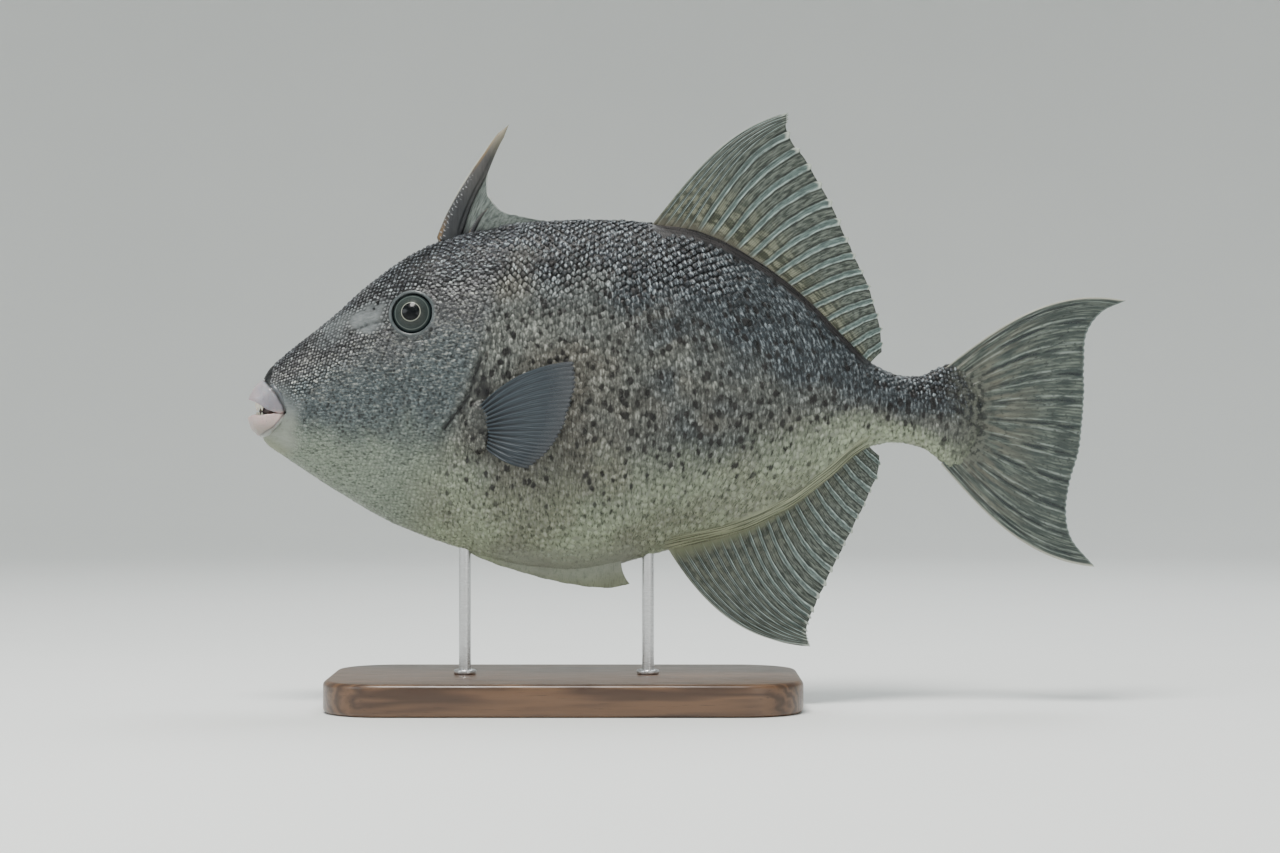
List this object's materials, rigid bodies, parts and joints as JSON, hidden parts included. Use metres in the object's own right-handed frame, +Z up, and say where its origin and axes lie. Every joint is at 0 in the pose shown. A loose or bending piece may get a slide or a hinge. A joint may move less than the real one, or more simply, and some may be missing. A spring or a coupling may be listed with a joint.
{
  "type": "grey triggerfish model",
  "caption": "Life-size still model of a grey triggerfish, swimming with its dorsal spine raised, held over a plain wooden base by short steel rods.",
  "frame": {"origin": "centre of the model's footprint, on the surface that the base stands on", "axes": "+X from the snout towards the tail, +Y towards the fish's right side, +Z up"},
  "size_m": [0.4391, 0.12, 0.297],
  "materials": {
    "skin": "satin scales, dark grey back with dark spots, pale belly",
    "spine": "rough, with a golden brown front edge",
    "lip": "smooth, damp",
    "eye": "glossy",
    "fin": "thin grey membrane over rays, with rows of darker blotches",
    "dark_fin": "thin slate grey membrane over rays",
    "base_wood": "satin varnish",
    "rod_steel": "satin"
  },
  "bodies": {
    "root": {"head": "skin", "torso": "skin", "tail_stalk": "skin", "pelvic_flap": "skin", "trigger_spine": "spine", "upper_jaw": "lip", "lower_jaw": "lip", "eye_left": "eye", "eye_right": "eye", "spine_membrane": "fin", "soft_dorsal_fin": "fin", "anal_fin": "fin", "tail_fin_upper": "fin", "tail_fin_lower": "fin", "pectoral_fin_left": "dark_fin", "pectoral_fin_right": "dark_fin", "stand_base": "base_wood", "stand_rod_front": "rod_steel", "stand_rod_rear": "rod_steel"}
  },
  "joints": []
}
